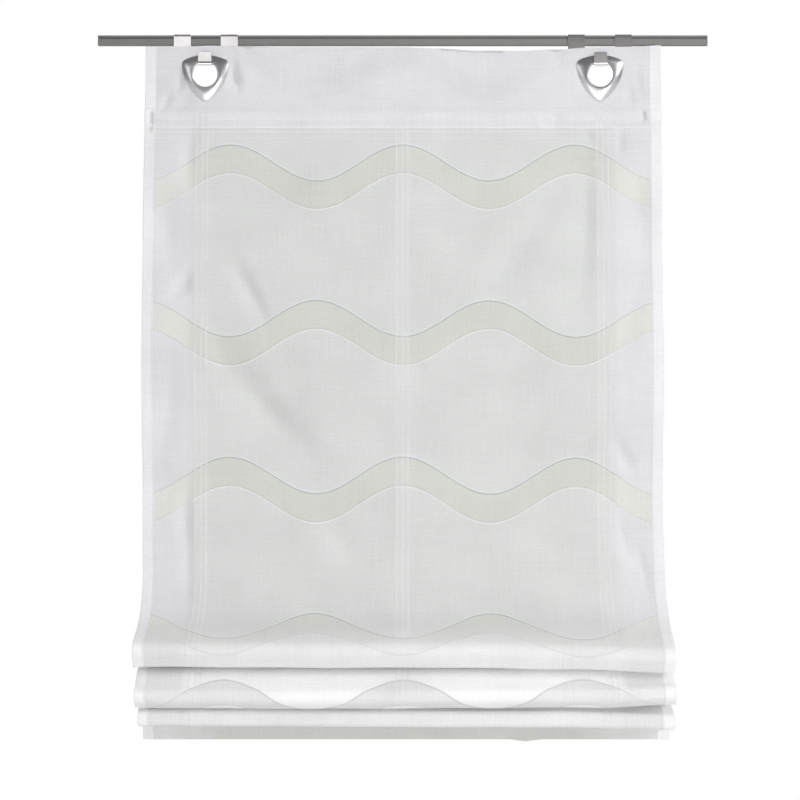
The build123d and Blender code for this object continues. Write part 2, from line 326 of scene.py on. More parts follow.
# Wrinkles: each dent has its place across and down, half length, half width, slant and depth
DENTS = (
    # Heading, round the eyelets
    (-346, 54, 14, 5, 104, 8.0),
    (-262, 46, 20, 6, 82, 11.0),
    (-366, 82, 16, 5, 118, 3.2),
    (-336, 84, 14, 5, 122, 3.0),
    (-243, 8, 12, 5, 95, 2.0),
    (-15, 35, 26, 9, 96, 1.8),
    (8, 42, 24, 8, 84, 1.6),
    (150, 16, 90, 12, 4, 2.4),
    (240, 14, 24, 9, 75, 2.0),
    (366, 52, 18, 5, 85, 2.2),
    (352, 78, 16, 6, 95, 4.0),
    # Pocket and just below it
    (238, 112, 17, 6, 102, 4.2),
    (222, 117, 14, 5, 80, 2.8),
    (335, 152, 22, 9, 98, 7.0),
    (-262, 137, 14, 5, 10, 1.8),
    (288, 141, 15, 6, 66, 4.5),
    (-330, 165, 30, 9, 95, 4.0),
    # Panel, left half
    (-336, 368, 22, 9, 128, 6.5),
    (-236, 386, 48, 13, 62, 7.5),
    (-240, 535, 84, 30, 52, 10.0),
    (-185, 590, 64, 22, 40, 5.0),
    (-334, 735, 40, 10, 96, 5.5),
    (-326, 805, 50, 9, 94, 5.0),
    (-95, 235, 60, 24, 70, 3.0),
    (-90, 770, 60, 24, 66, 3.5),
    (-26, 712, 40, 18, 110, 2.6),
    (-362, 300, 70, 16, 84, 3.0),
    (-360, 560, 90, 16, 96, 3.4),
    # Panel, right half
    (26, 503, 14, 9, 60, 3.0),
    (284, 300, 120, 20, 96, 5.0),
    (175, 320, 130, 26, 118, 5.5),
    (276, 622, 34, 10, 148, 4.5),
    (338, 632, 30, 10, 60, 6.5),
    (340, 765, 36, 9, 76, 6.0),
    (366, 805, 46, 9, 80, 4.5),
    (352, 420, 80, 15, 100, 3.6),
    (366, 250, 70, 14, 82, 3.0),
    (160, 560, 120, 30, 125, 3.0),
    (120, 800, 80, 30, 60, 2.4),
)


def wrinkles(x, drop):
    """How far the cloth stands back from its plain path."""
    result = np.zeros(np.broadcast(x, drop).shape)
    for across, down, length, width, slant, depth in DENTS:
        angle = math.radians(slant)
        along = (x - across) * math.cos(angle) + (drop - down) * math.sin(angle)
        aside = (drop - down) * math.cos(angle) - (x - across) * math.sin(angle)
        result = result + DENT_SCALE * depth * np.exp(-((along / length) ** 2) - (aside / width) ** 2)
    wide, high, skew = PILLOW_WAVES
    pillow = np.sin(x / wide + 0.4) * np.sin(drop / high + x / skew)
    wide, high, skew = FINE_WAVES
    pillow = pillow + FINE_SHARE * np.sin(x / wide - drop / skew) * np.sin(drop / high + 1.3)
    result = result + PILLOW_DEPTH * between(PANEL_START, PANEL_END, drop) * pillow
    short, long = PUCKER_WAVES
    pucker = np.sin(x / short + 2 * np.sin(x / long))
    result = result + PUCKER_DEPTH * between(PUCKER_START, PUCKER_END, drop) * pucker
    tape = np.ones_like(result)
    for place in TAPE_PLACES.values():
        tape = tape * smooth(*TAPE_SIDE, np.abs(x - place))
    tape = 1 - (1 - tape) * smooth(*TAPE_START, drop)
    eyelet = smooth(*EYELET_SIDE, np.hypot(np.abs(x) - EYELET_X, drop - EYELET_DROP))
    return result * tape * eyelet


def pocket_mouths(x, drop):
    """The open ends of the rod pocket: narrow hollows beside the two side hems."""
    result = np.zeros(np.broadcast(x, drop).shape)
    for place, slant, start, end in POCKET_MOUTHS:
        aside = x - place - (drop - MOUTH_LEVEL) * slant
        result = result + MOUTH_DEPTH * np.exp(-((aside / MOUTH_WIDTH) ** 2)) * between(start, end, drop)
    return result


def edge_shift(drop):
    """How far the left and the right edge stand to the right of their plain place."""
    places = (0, 240, 490, 705, 860, 1000, 1250)
    left = table(places, (1.0, -2.2, -3.0, 0.5, 2.4, 2.0, 5.5), drop)
    right = table(places, (0.8, 1.6, 3.0, -0.8, 2.6, 1.0, 4.5), drop)
    return left, right


# Columns of the cloth's grid: even ones between, and closer ones along each side edge
INNER_COLUMNS = 105
EDGE_STRIP = 42.0
EDGE_COLUMNS = (
    *(0.0, 1.2, 4.0, 7.0, 9.0, 11.0, 13.0, 16.0),
    *(17.4, 19.5, 22.0, 25.0, 28.0, 31.0, 34.0, 38.0),
)
# The side edges' shift fades towards the middle by this power of the place across
EDGE_FADE = 3


def cloth_columns():
    """Places across the cloth, closer together along both side hems."""
    inner = np.linspace(-HALF_WIDTH + EDGE_STRIP, HALF_WIDTH - EDGE_STRIP, INNER_COLUMNS)
    edge = np.array(EDGE_COLUMNS)
    return np.concatenate([-HALF_WIDTH + edge, inner, (HALF_WIDTH - edge)[::-1]])


class Surface:
    """The hung cloth: a grid of points with outward normals, by place across and drop from the top."""

    def __init__(self):
        self.x = cloth_columns()
        rows, starts = sample_path(path_corners(self.x), RUN_STEPS, BEND_STEPS)
        middle = rows[:, len(self.x) // 2]
        length = lengths_along(middle)
        top = RUN_STEPS[0] + BEND_STEPS[0]
        self.drop = length - length[top]
        drop = self.drop[:, None]
        across = np.broadcast_to(self.x, rows.shape[:2]).copy()
        left, right = edge_shift(np.maximum(drop, 0))
        share = across / HALF_WIDTH
        across = across + np.where(share < 0, left, right) * np.abs(share) ** EDGE_FADE
        plain = np.stack([across, rows[..., 0], rows[..., 1]], axis=-1)
        normals = self.grid_normals(plain)
        forward = np.where(drop[..., None] < 0, np.array([0.0, -1.0, 0.0]), normals)
        depth = wrinkles(self.x[None, :], np.abs(drop))
        depth = depth + np.where(drop > 0, pocket_mouths(self.x[None, :], drop), 0)
        for run, rise in FOLD_PUFFS:
            share = np.clip((np.arange(len(rows)) - starts[run]) / RUN_STEPS[run], 0, 1)[:, None]
            depth = depth - rise * np.sin(math.pi * share) ** 2
        self.points = plain - forward * depth[..., None]
        self.normals = self.grid_normals(self.points)

    @staticmethod
    def grid_normals(points):
        """Unit normals of a grid of points, out of the front of the cloth."""
        down = np.gradient(points, axis=0)
        across = np.gradient(points, axis=1)
        normal = np.cross(down, across)
        return unit(normal)

    def at(self, x, drop, out=0.0):
        """Points this far out of the middle of the cloth, for arrays of places across and drops."""
        x, drop = np.broadcast_arrays(np.asarray(x, float), np.asarray(drop, float))
        column = np.clip(np.searchsorted(self.x, x) - 1, 0, len(self.x) - 2)
        row = np.clip(np.searchsorted(self.drop, drop) - 1, 0, len(self.drop) - 2)
        a = ((x - self.x[column]) / (self.x[column + 1] - self.x[column]))[..., None]
        b = ((drop - self.drop[row]) / (self.drop[row + 1] - self.drop[row]))[..., None]

        def blend(grid):
            upper = grid[row, column] * (1 - a) + grid[row, column + 1] * a
            lower = grid[row + 1, column] * (1 - a) + grid[row + 1, column + 1] * a
            return upper * (1 - b) + lower * b

        normal = unit(blend(self.normals))
        return blend(self.points) + normal * out, normal


surface = Surface()

# Mesh helpers


def new_piece(name, mesh, material):
    """A smooth-shaded piece with this mesh, riding on the part's one body."""
    mesh.materials.clear()
    mesh.materials.append(material)
    mesh.polygons.foreach_set("use_smooth", [True] * len(mesh.polygons))
    piece = bpy.data.objects.new(name, mesh)
    bpy.context.scene.collection.objects.link(piece)
    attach(piece, "root")
    return piece


def make_piece(name, points, faces, material, slot):
    """A new piece from points in millimetres."""
    mesh = bpy.data.meshes.new(name)
    mesh.from_pydata([tuple(p * MM) for p in np.asarray(points, float)], [], [tuple(f) for f in faces])
    return new_piece(name, mesh, material)


def grid_faces(rows, columns, start=0, closed_rows=False, closed_columns=False):
    """Quads of a grid of points that are numbered row by row."""
    faces = []
    for i in range(rows if closed_rows else rows - 1):
        for j in range(columns if closed_columns else columns - 1):
            i2 = (i + 1) % rows
            j2 = (j + 1) % columns
            a, b = start + i * columns + j, start + i * columns + j2
            c, d = start + i2 * columns + j2, start + i2 * columns + j
            faces.append((a, b, c, d))
    return faces


def sheet_mesh(front, back, kept):
    """Points and faces of a closed sheet between two grids of points. Cells that aren't kept are
    open, with a rim round them. Also says which points of the two grids are used."""
    rows, columns = front.shape[:2]
    start = rows * columns
    faces = []
    for i, j in zip(*np.nonzero(kept)):
        a, b = i * columns + j, i * columns + j + 1
        c, d = a + columns + 1, a + columns
        faces.append((a, d, c, b))
        faces.append((start + a, start + b, start + c, start + d))
        for p, q, ni, nj in ((a, b, i - 1, j), (d, a, i, j - 1), (c, d, i + 1, j), (b, c, i, j + 1)):
            inside = 0 <= ni < rows - 1 and 0 <= nj < columns - 1
            if not (inside and kept[ni, nj]):
                faces.append((p, q, start + q, start + p))
    points = np.concatenate([front.reshape(-1, 3), back.reshape(-1, 3)])
    used = np.unique([k for face in faces for k in face])
    number = np.full(len(points), -1)
    number[used] = np.arange(len(used))
    return points[used], [tuple(int(number[k]) for k in face) for face in faces], used


def tube(points, normals, wide, high, sides=6):
    """Points and faces of a closed tube along a line, with an oval section on a surface."""
    points = np.asarray(points, float)
    along = unit(np.gradient(points, axis=0))
    aside = np.cross(along, normals)
    rings = []
    for k in range(sides):
        angle = 2 * math.pi * k / sides
        rings.append(points + aside * (wide * math.cos(angle)) + normals * (high * math.sin(angle)))
    ring_points = np.stack(rings, axis=1)
    count = len(points)
    faces = grid_faces(count, sides, closed_columns=True)
    faces.append(tuple(range(sides))[::-1])
    faces.append(tuple((count - 1) * sides + k for k in range(sides)))
    return ring_points.reshape(-1, 3), faces


def joined(parts):
    """One list of points and faces from several."""
    points, faces, start = [], [], 0
    for part_points, part_faces in parts:
        points.append(part_points)
        faces += [tuple(start + k for k in face) for face in part_faces]
        start += len(part_points)
    return np.concatenate(points), faces


# Materials


class Nodes:
    """A node tree, with short calls that add nodes to it. Their values can be numbers or links."""

    def __init__(self, tree):
        self.nodes = tree.nodes
        self.links = tree.links

    def put(self, socket, value):
        if isinstance(value, bpy.types.NodeSocket):
            self.links.new(value, socket)
        elif isinstance(value, (tuple, list)) and len(value) == 3 and socket.type == "RGBA":
            socket.default_value = (*value, 1.0)
        else:
            socket.default_value = value

    def put_named(self, node, inputs):
        """Fill inputs of a node by their names, with underscores for spaces."""
        for key, value in inputs.items():
            self.put(node.inputs[key.replace("_", " ")], value)

    def add(self, kind, *values, **inputs):
        """A new node, with values for its first inputs and for others by name."""
        node = self.nodes.new("ShaderNode" + kind)
        for socket, value in zip(node.inputs, values):
            self.put(socket, value)
        self.put_named(node, inputs)
        return node

    def maths(self, operation, *values):
        node = self.add("Math", *values)
        node.operation = operation
        return node.outputs[0]

    def step(self, value, low, high):
        """A smooth step of a value, from 0 at low to 1 at high."""
        node = self.add("MapRange", Value=value, From_Min=low, From_Max=high)
        node.interpolation_type = "SMOOTHSTEP"
        return node.outputs["Result"]

    def line(self, value, place, half_width):
        """1 on a thin line where the value is near place, 0 away from it."""
        distance = self.maths("ABSOLUTE", self.maths("SUBTRACT", value, place))
        return self.maths("SUBTRACT", 1.0, self.step(distance, 0.5 * half_width, 1.5 * half_width))

    def level(self, share, low, high):
        """A number between two numbers."""
        node = self.add("Mix", share)
        self.put(node.inputs[2], low)
        self.put(node.inputs[3], high)
        return node.outputs[0]

    def mix(self, share, low, high):
        """A colour between two colours."""
        node = self.add("Mix", share)
        node.data_type = "RGBA"
        self.put(node.inputs[6], low)
        self.put(node.inputs[7], high)
        return node.outputs[2]

    def vector(self, *parts):
        return self.add("CombineXYZ", *parts).outputs[0]

    def split(self, vector):
        return self.add("SeparateXYZ", vector).outputs

    def noise(self, vector, scale, detail=2.0):
        return self.add("TexNoise", Vector=vector, Scale=scale, Detail=detail).outputs["Fac"]

    def object_place(self):
        return self.add("TexCoord").outputs["Object"]

    def stretch(self, vector, factors):
        node = self.add("VectorMath", vector, factors)
        node.operation = "MULTIPLY"
        return node.outputs[0]


class Shader(Nodes):
    """One node material with a Principled shader."""

    def __init__(self, name, **settings):
        self.material = bpy.data.materials.new(name)
        self.material.use_nodes = True
        super().__init__(self.material.node_tree)
        self.surface = self.nodes["Principled BSDF"]
        self.feed(**settings)

    def feed(self, **inputs):
        self.put_named(self.surface, inputs)

    def place(self, name):
        """The three numbers of a point attribute of the mesh."""
        attribute = self.add("Attribute")
        attribute.attribute_name = name
        return self.split(attribute.outputs["Vector"])

    def bump(self, height, strength, distance):
        node = self.add("Bump", Strength=strength, Distance=distance, Height=height)
        self.feed(Normal=node.outputs[0])


# Colours of the cloth
PANEL_COLOUR = (0.678, 0.690, 0.684)
HEADING_COLOUR = (0.727, 0.721, 0.752)
GHOST_COLOUR = (0.675, 0.668, 0.690)
FOLD_COLOUR = (0.835, 0.835, 0.842)
# The second fold: layered cloth, with painted light for the light that passes through the fold above it
SECOND_FOLD_PAINTED_LIGHT_COLOUR = (0.960, 0.960, 0.962)
BAND_COLOUR = (0.642, 0.652, 0.618)
MARGIN_COLOUR = (0.735, 0.730, 0.752)
MARGIN_BAND_COLOUR = (0.735, 0.735, 0.710)
FOLD_BAND_COLOUR = (0.815, 0.812, 0.818)
FOLD_MARGIN_COLOUR = (0.790, 0.790, 0.802)
HEM_COLOUR = (0.850, 0.850, 0.872)
FOLD_HEM_COLOUR = (0.970, 0.968, 0.975)
UPPER_EDGE_COLOUR = (0.42, 0.46, 0.455)
LOWER_EDGE_COLOUR = (0.52, 0.495, 0.485)
SEAM_COLOUR = (0.87, 0.87, 0.88)
# Painted shade in the pocket's open ends
MOUTH_SHADE_COLOUR = (0.40, 0.40, 0.40)
# Painted shade on the bottom hem, under the third fold
FOOT_SHADE_COLOUR = (0.64, 0.64, 0.615)

# Where those colours change, as places across or drops
MARGIN_START = (316, 336)
FOLDS_START = (885, 970)
SECOND_FOLD_START = (1050, 1075)
SECOND_FOLD_END = (1215, 1240)
HEM_LINE = 383.0
HEM_CREASE = 382.8
HEADING_TOP = -1.0
HEADING_FOOT = 127.3
POCKET_LIGHT_START = (94, 112)
SINGLE_CLOTH = 130.0
BACK_BAND = -1.5
BANDS_END = 1300.0
# The bottom hem starts this far above the path's end. Painted shade lies on it and is weaker towards its ends
FOOT_DROP = surface.drop[-1] - 62.0
FOOT_START = (FOOT_DROP - 4.0, FOOT_DROP + 4.0)
FOOT_SHADE_FADE_START = (250, 390)
# Distance from a band's middle over which the band behind the heading fades
GHOST_FADE = (10, 26)
# Half of the stretch over which a plain edge between two colours changes
EDGE_BLUR = 0.5

# Lines along a band: distance below its middle, half width, share and colour
BAND_EDGES = (
    (-23.6, 0.9, 0.45, SEAM_COLOUR),
    (-21.3, 1.0, 0.85, UPPER_EDGE_COLOUR),
    (21.7, 0.8, 0.70, LOWER_EDGE_COLOUR),
    (23.9, 0.9, 0.55, SEAM_COLOUR),
)
# Pale lines of the pocket's seams: drop, half width and share
POCKET_SEAMS = (
    (96.5, 1.2, 0.2),
    (125.8, 1.5, 0.5),
    (132.5, 1.6, 0.2),
    (142.5, 1.0, 0.15),
)
# Shade in the pocket's open ends: place across, and the stretches of drop where it starts and ends
MOUTH_SHADES = (
    (-390.0, (97, 104), (128, 138)),
    (374.5, (97, 104), (113, 123)),
)
MOUTH_SHADE_HALF = 2.8
TAPE_SEAM_HALF = 1.0
CREASE_HALF = 0.7

# How much weaker the bands' edges are on the margins and on the folds
MARGIN_EDGE_LOSS = 0.6
FOLD_EDGE_LOSS = 0.5
# Shares of the tint behind the heading, and of the painted shade on the bottom hem and its loss at the ends
GHOST_SHARE = 0.4
FOOT_SHADE_SHARE = 0.9
FOOT_SHADE_FADE_SHARE = 0.8

# Noise of the weave, per metre: across and along its threads, its grain and its clouds
THREAD_ACROSS = 480.0
THREAD_ALONG = 12.0
GRAIN = 340.0
CLOUD = 11.0
# How much each of them moves the brightness
THREAD_SHARE = 0.11
GRAIN_SHARE = 0.21
CLOUD_SHARE = 0.18
# Pitch of the woven threads of the cloth and of the tapes, and height of the cloth's knots
WEAVE_PITCH = 0.9
KNOT_HEIGHT = 0.25
TAPE_PITCH = 1.8


def band_distance(shader, x, drop):
    """How far a place lies below the middle line of the nearest band."""
    spacing, height = BAND_SPACING * MM, WAVE_HEIGHT * MM
    count = shader.maths("DIVIDE", shader.maths("SUBTRACT", drop, FIRST_BAND * MM - spacing / 2), spacing)
    half_count = shader.maths("MULTIPLY", shader.maths("FLOOR", count), 0.5)
    sign = shader.maths("SUBTRACT", 1.0, shader.maths("MULTIPLY", shader.maths("FRACT", half_count), 4.0))
    turn = shader.maths("COSINE", shader.maths("MULTIPLY", x, 2 * math.pi / (WAVE_LENGTH * MM)))
    wave = shader.maths("MULTIPLY", shader.maths("MULTIPLY", turn, sign), height)
    local = shader.maths("MULTIPLY", shader.maths("SUBTRACT", shader.maths("FRACT", count), 0.5), spacing)
    return shader.maths("ADD", local, wave)


def weave(shader, x, drop):
    """Brightness of the uneven threads, about 1 in the middle, and the height of the threads."""

    def stretched(across, down, seed):
        place = shader.vector(shader.maths("MULTIPLY", x, across), shader.maths("MULTIPLY", drop, down), seed)
        return shader.maths("SUBTRACT", shader.noise(place, scale=1.0, detail=3.0), 0.5)

    warp = stretched(THREAD_ACROSS, THREAD_ALONG, 0.0)
    weft = stretched(THREAD_ALONG, THREAD_ACROSS, 3.0)
    grain = stretched(GRAIN, GRAIN, 6.0)
    cloud = stretched(CLOUD, CLOUD, 9.0)
    shade = 1.0
    parts = ((warp, THREAD_SHARE), (weft, THREAD_SHARE), (grain, GRAIN_SHARE), (cloud, CLOUD_SHARE))
    for part, share in parts:
        shade = shader.maths("ADD", shade, shader.maths("MULTIPLY", part, share))
    turn = 2 * math.pi / (WEAVE_PITCH * MM)
    over = shader.maths("SINE", shader.maths("MULTIPLY", x, turn))
    under = shader.maths("SINE", shader.maths("MULTIPLY", drop, turn))
    knots = shader.maths("MULTIPLY", shader.maths("MULTIPLY", over, under), KNOT_HEIGHT)
    return shade, shader.maths("ADD", shader.maths("ADD", warp, weft), knots)


class ClothShader(Shader):
    """The cloth's shader. Its colour is tinted step by step, with masks in millimetres."""

    def __init__(self):
        super().__init__("cloth_weave", Roughness=0.85, Specular_IOR_Level=0.2, Sheen_Weight=0.08)
        self.x, self.drop, self.pattern = self.place("cloth_place")
        self.side = self.maths("ABSOLUTE", self.x)
        self.margin = self.rise(self.side, MARGIN_START)
        self.folds = self.rise(self.drop, FOLDS_START)
        self.colour = PANEL_COLOUR

    def tint(self, mask, colour, share=1.0):
        """Mix a share of a colour into the cloth's colour, where the mask says."""
        self.colour = self.mix(self.both(mask, share), self.colour, colour)

    def both(self, first, second):
        return self.maths("MULTIPLY", first, second)

    def without(self, mask):
        return self.maths("SUBTRACT", 1.0, mask)

    def rise(self, value, stretch):
        return self.step(value, stretch[0] * MM, stretch[1] * MM)

    def beyond(self, value, limit):
        return self.rise(value, (limit - EDGE_BLUR, limit + EDGE_BLUR))

    def below(self, value, limit):
        return self.without(self.beyond(value, limit))

    def stripe(self, value, place, half_width):
        return self.line(value, place * MM, half_width * MM)


def tint_margins_and_folds(shader):
    """Paler margins, and whiter folds where cloth lies in layers. The second fold is whitest: layered cloth,
    with painted light for the light that passes through the fold above it.
    """
    shader.tint(shader.margin, MARGIN_COLOUR)
    shader.tint(shader.folds, FOLD_COLOUR)
    # Painted light on the second fold, over the whiteness of its layers
    start = shader.rise(shader.drop, SECOND_FOLD_START)
    end = shader.rise(shader.drop, SECOND_FOLD_END)
    shader.tint(shader.maths("SUBTRACT", start, end), SECOND_FOLD_PAINTED_LIGHT_COLOUR)
    fold_margin = shader.both(shader.margin, shader.folds)
    shader.tint(fold_margin, FOLD_MARGIN_COLOUR, share=0.8)


def tint_bands(shader):
    """Wave bands between the side hems, on the panel and folds and on the back of the heading."""
    both = shader.both
    distance = band_distance(shader, shader.x, shader.pattern)
    reach = shader.maths("ABSOLUTE", distance)
    on_front = shader.beyond(shader.drop, SINGLE_CLOTH)
    on_back = shader.below(shader.drop, BACK_BAND)
    inner = both(shader.below(shader.side, HEM_LINE), shader.below(shader.pattern, BANDS_END))
    inner = both(inner, shader.maths("MAXIMUM", on_front, on_back))
    band = shader.mix(shader.margin, BAND_COLOUR, MARGIN_BAND_COLOUR)
    band = shader.mix(shader.folds, band, FOLD_BAND_COLOUR)
    shader.tint(both(inner, shader.below(reach, BAND_WIDTH / 2)), band)
    inner = both(inner, shader.without(both(shader.margin, MARGIN_EDGE_LOSS)))
    inner = both(inner, shader.without(both(shader.folds, FOLD_EDGE_LOSS)))
    for place, half_width, share, colour in BAND_EDGES:
        shader.tint(both(shader.stripe(distance, place, half_width), inner), colour, share)


def tint_tapes(shader):
    """Tapes behind the cloth show as slightly paler strips between paler seams."""
    single = shader.beyond(shader.drop, SINGLE_CLOTH)
    for place in TAPE_PLACES.values():
        strip = shader.both(shader.stripe(shader.x, place, TAPE_WIDTH / 2), single)
        shader.tint(strip, SEAM_COLOUR, share=0.10)
        for aside in TAPE_SEAMS:
            seam = shader.both(shader.stripe(shader.x, place + aside, TAPE_SEAM_HALF), single)
            shader.tint(seam, SEAM_COLOUR, share=0.22)


def tint_heading(shader):
    """Doubled heading, where the band behind it shows through, and the pocket with its seams."""
    both = shader.both
    behind = shader.maths("MULTIPLY", shader.drop, -1.0)
    reach = shader.maths("ABSOLUTE", band_distance(shader, shader.x, behind))
    ghost = both(shader.without(shader.rise(reach, GHOST_FADE)), GHOST_SHARE)
    above_foot = shader.below(shader.drop, HEADING_FOOT)
    heading = both(above_foot, shader.beyond(shader.drop, HEADING_TOP))
    shader.tint(heading, shader.mix(ghost, HEADING_COLOUR, GHOST_COLOUR))
    pocket = both(above_foot, shader.rise(shader.drop, POCKET_LIGHT_START))
    shader.tint(pocket, SEAM_COLOUR, share=0.25)
    for place, half_width, share in POCKET_SEAMS:
        shader.tint(shader.stripe(shader.drop, place, half_width), SEAM_COLOUR, share)


def tint_hems(shader):
    """Side hems, painted shade in the pocket's open ends beside them, and painted shade on the bottom hem."""
    both = shader.both
    hem = shader.mix(shader.folds, HEM_COLOUR, FOLD_HEM_COLOUR)
    shader.tint(shader.beyond(shader.side, HEM_LINE), hem, share=0.85)
    # Painted shade: dark strips in the pocket's open ends, beside the side hems
    for place, start, end in MOUTH_SHADES:
        slot = both(shader.rise(shader.drop, start), shader.without(shader.rise(shader.drop, end)))
        painted_mouth_shade = both(shader.stripe(shader.x, place, MOUTH_SHADE_HALF), slot)
        shader.tint(painted_mouth_shade, MOUTH_SHADE_COLOUR, share=0.42)
    # Painted shade on the bottom hem, where the fold above shades it, weaker towards both ends
    shade_fade = both(shader.rise(shader.side, FOOT_SHADE_FADE_START), FOOT_SHADE_FADE_SHARE)
    foot_shade_share = shader.maths("SUBTRACT", FOOT_SHADE_SHARE, shade_fade)
    shader.tint(shader.rise(shader.drop, FOOT_START), FOOT_SHADE_COLOUR, foot_shade_share)
    crease = shader.stripe(shader.side, HEM_CREASE, CREASE_HALF)
    shader.tint(crease, UPPER_EDGE_COLOUR, share=0.15)


def cloth_material():
    """Fine uneven weave, tinted where bands, tapes, seams, hems and folds lie."""
    shader = ClothShader()
    tint_margins_and_folds(shader)
    tint_bands(shader)
    tint_tapes(shader)
    tint_heading(shader)
    tint_hems(shader)
    shade, height = weave(shader, shader.x, shader.drop)
    tinted = shader.add("VectorMath", shader.colour)
    tinted.operation = "SCALE"
    shader.put(tinted.inputs["Scale"], shade)
    shader.feed(Base_Color=tinted.outputs[0])
    shader.bump(height, strength=0.3, distance=0.0003)
    return shader.material


def thread_material(name, colour):
    """Pale sewing thread with a fine twist."""
    shader = Shader(name, Roughness=0.6, Specular_IOR_Level=0.3)
    twist = shader.noise(shader.object_place(), scale=2600.0)
    darker = tuple(0.9 * c for c in colour)
    shader.feed(Base_Color=shader.mix(twist, darker, colour))
    shader.bump(twist, strength=0.3, distance=0.0002)
    return shader.material


def tape_material():
    """Woven white tape: a fine herringbone across the tape."""
    shader = Shader("woven_tape", Roughness=0.8)
    _, drop, aside = shader.place("cloth_place")
    slant = shader.maths("ADD", drop, shader.maths("ABSOLUTE", aside))
    rib = shader.maths("SINE", shader.maths("MULTIPLY", slant, 2 * math.pi / (TAPE_PITCH * MM)))
    shade = shader.maths("ADD", 0.5, shader.maths("MULTIPLY", rib, 0.5))
    colour = shader.mix(shade, (0.74, 0.74, 0.73), (0.84, 0.84, 0.83))
    shader.feed(Base_Color=colour)
    shader.bump(rib, strength=0.4, distance=0.0003)
    return shader.material


def metal_material(name, colour, roughness, brushed, streak=(1, 1, 1)):
    """Metal with faint uneven gloss and streaks of brushing."""
    shader = Shader(name, Metallic=1.0)
    place = shader.object_place()
    fine = shader.noise(shader.stretch(place, streak), scale=900.0, detail=3.0)
    broad = shader.noise(place, scale=60.0)
    darker = tuple(0.86 * c for c in colour)
    shader.feed(Base_Color=shader.mix(broad, darker, colour))
    uneven = shader.maths("MULTIPLY", shader.maths("SUBTRACT", fine, 0.5), brushed)
    shader.feed(Roughness=shader.maths("ADD", roughness, uneven))
    shader.bump(fine, strength=0.015, distance=0.0002)
    return shader.material


# Painted shade along the groove in the rail's face: height above the rail's middle and half width
RAIL_GROOVE = 3.4
RAIL_GROOVE_HALF = 1.3


def paint_material(name, colour, roughness):
    """Satin paint with a faint grain along the rail, and painted shade in its groove."""
    shader = Shader(name)
    place = shader.object_place()
    grain = shader.noise(shader.stretch(place, (0.02, 1, 1)), scale=1500.0, detail=3.0)
    blotch = shader.noise(place, scale=35.0)
    lighter = tuple(1.12 * c for c in colour)
    darker = tuple(0.5 * c for c in colour)
    height = shader.split(place)["Z"]
    # Painted shade: the groove is darker than the paint around it
    groove = shader.line(height, RAIL_GROOVE * MM, RAIL_GROOVE_HALF * MM)
    tone = shader.mix(groove, shader.mix(blotch, colour, lighter), darker)
    shader.feed(Base_Color=tone)
    gloss = shader.maths("ADD", roughness, shader.maths("MULTIPLY", grain, 0.12))
    shader.feed(Roughness=gloss)
    shader.bump(grain, strength=0.06, distance=0.0002)
    return shader.material


CLOTH = cloth_material()
THREAD = thread_material("sewing_thread", (0.90, 0.90, 0.89))
BAND_THREAD = thread_material("band_edge_thread", (0.80, 0.81, 0.80))
TAPE = tape_material()
EYELET_METAL = metal_material("satin_chrome", (0.60, 0.60, 0.62), roughness=0.30, brushed=0.06)
EYELET_BACK = metal_material("grey_counter_ring", (0.55, 0.55, 0.56), roughness=0.42, brushed=0.10)
HOOK_METAL = metal_material(
    "bright_plated_steel", (0.80, 0.78, 0.775), roughness=0.13, brushed=0.02, streak=(1, 1, 0.1)
)
RAIL_PAINT = paint_material("grey_rail_paint", (0.200, 0.202, 0.194), roughness=0.55)
BAR_METAL = metal_material(
    "bar_aluminium", (0.70, 0.70, 0.71), roughness=0.38, brushed=0.10, streak=(0.02, 1, 1)
)


# Cloth


def add_places(piece, used, across, drop, third):
    """Store the place on the flat cloth, and a third number, for each used point of a sheet."""
    grid = np.stack(np.broadcast_arrays(across, drop, third), axis=-1).reshape(-1, 3)
    places = np.concatenate([grid, grid])[used] * MM
    attribute = piece.data.attributes.new("cloth_place", "FLOAT_VECTOR", "POINT")
    attribute.data.foreach_set("vector", places.astype(np.float32).ravel())


# On the folds the bands lie lower or higher than on a flat cloth: stretch of drop and shift
PATTERN_SHIFTS = (((860, 900), -2.0), ((935, 972), 14.0), ((1030, 1090), -6.0))
# Half of the stretch over which the cloth thickens at a side hem
HEM_STEP = 0.5


def pattern_drop(drop):
    """Drop at which the bands are drawn for a drop along the cloth."""
    result = drop
    for stretch, shift in PATTERN_SHIFTS:
        result = result + shift * smooth(*stretch, drop)
    return result


def cloth_piece():
    """The folded cloth as a closed sheet, with a hole behind each eyelet."""
    hem_line = HALF_WIDTH - SIDE_HEM
    hem = smooth(hem_line - HEM_STEP, hem_line + HEM_STEP, np.abs(surface.x))
    extra = hem[None, :] * THICKNESS * (surface.drop[:, None] > POCKET_DROP + POCKET_HEIGHT)
    front = surface.points + surface.normals * (THICKNESS / 2)
    back = surface.points - surface.normals * (THICKNESS / 2 + extra)[..., None]

    middle_x = 0.5 * (surface.x[1:] + surface.x[:-1])
    middle_z = 0.5 * (surface.points[1:, :-1, 2] + surface.points[:-1, :-1, 2])
    reach = np.hypot(np.abs(middle_x)[None, :] - EYELET_X, middle_z - EYELET_Z)
    kept = (reach > CLOTH_HOLE) | (surface.drop[:-1, None] > POCKET_DROP)
    points, faces, used = sheet_mesh(front, back, kept)
    piece = make_piece("blind_cloth_sheet", points, faces, CLOTH, "cloth")

    drop = surface.drop[:, None]
    add_places(piece, used, surface.x, drop, pattern_drop(drop))
    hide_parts("blind_cloth")
    return piece


cloth = cloth_piece()


# Thread along the band edges, and rows of stitches


# Threads along the bands: spacing of their points, inset at the hems, offset, lift and half section
THREAD_STEP = 3.0
THREAD_INSET = 1
THREAD_OFFSET = 0.6
THREAD_LIFT = 0.1
THREAD_SECTION = (0.45, 0.35)
